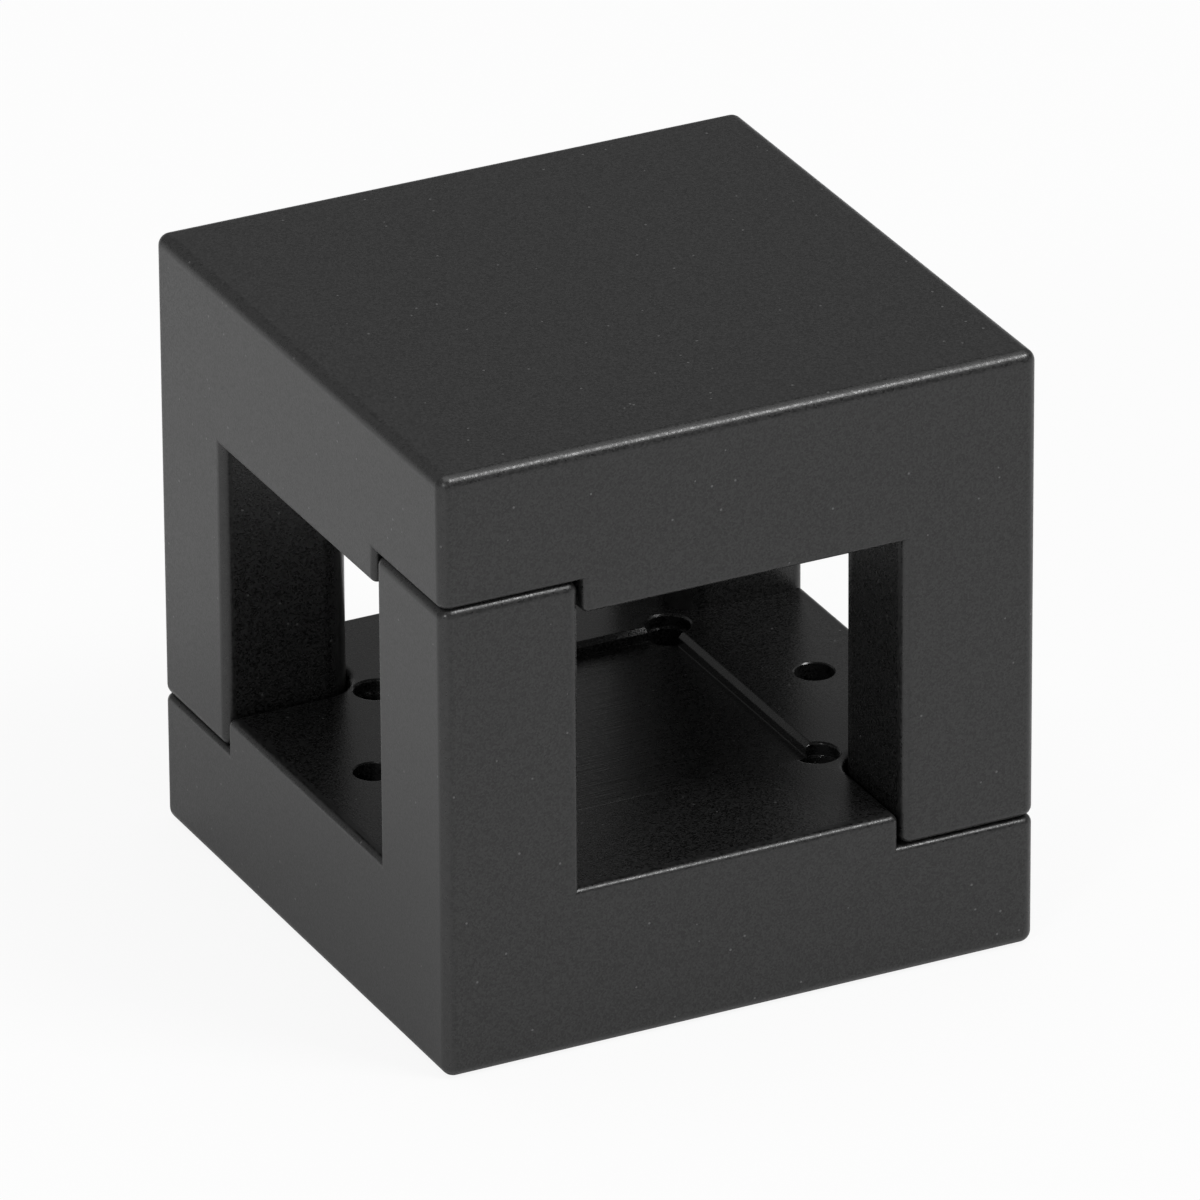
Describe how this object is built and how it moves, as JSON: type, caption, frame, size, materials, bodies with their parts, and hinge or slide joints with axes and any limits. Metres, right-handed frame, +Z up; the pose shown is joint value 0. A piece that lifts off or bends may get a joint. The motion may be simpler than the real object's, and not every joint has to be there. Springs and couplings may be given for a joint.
{
  "type": "beamsplitter cube adapter",
  "caption": "Black cube-shaped adapter in interlocking halves that seats a small beamsplitter cube at its centre and leaves open windows for the beams.",
  "frame": {"origin": "centre of the base face, the outside face of the lower half", "axes": "+Z up through the seat for the small cube; the side holes lie along X; the lower half's posts stand at -X-Y and +X+Y, and the upper half's posts hang at -X+Y and +X-Y"},
  "size_m": [0.0254, 0.0254, 0.0254],
  "materials": {
    "body": "matte black anodised, fine bead-blasted grain, lighter on broken edges"
  },
  "bodies": {
    "root": {"lower_half": "body", "upper_half": "body"}
  },
  "joints": []
}
